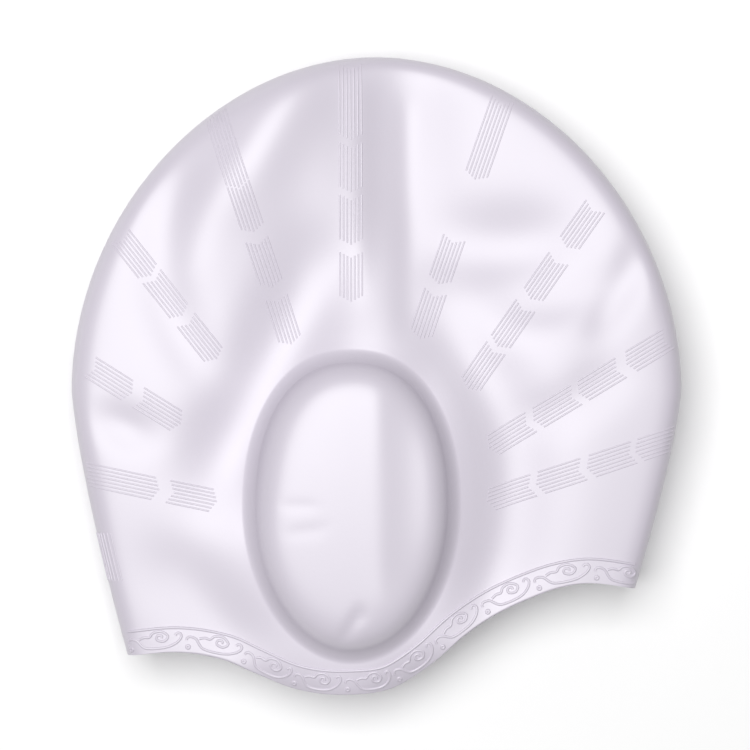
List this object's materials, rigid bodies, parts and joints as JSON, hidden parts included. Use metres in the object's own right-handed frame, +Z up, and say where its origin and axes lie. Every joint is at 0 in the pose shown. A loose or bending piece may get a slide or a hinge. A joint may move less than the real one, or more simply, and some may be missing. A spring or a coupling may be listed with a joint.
{
  "type": "silicone swim cap",
  "caption": "Empty silicone swim cap lying on its side: thin hollow dome with an oval ear pocket each side, a wavy hem with a scroll border, and fan-set ribbed panels.",
  "frame": {"origin": "centre of the cap's bounding box, on the surface that it lies on", "axes": "+X from the nape to the brow, +Y from the hem to the crown, +Z up from the surface, through the cap's side"},
  "size_m": [0.219, 0.228, 0.0543],
  "materials": {
    "silicone": "satin"
  },
  "bodies": {
    "root": {"cap_shell": "silicone"}
  },
  "joints": []
}
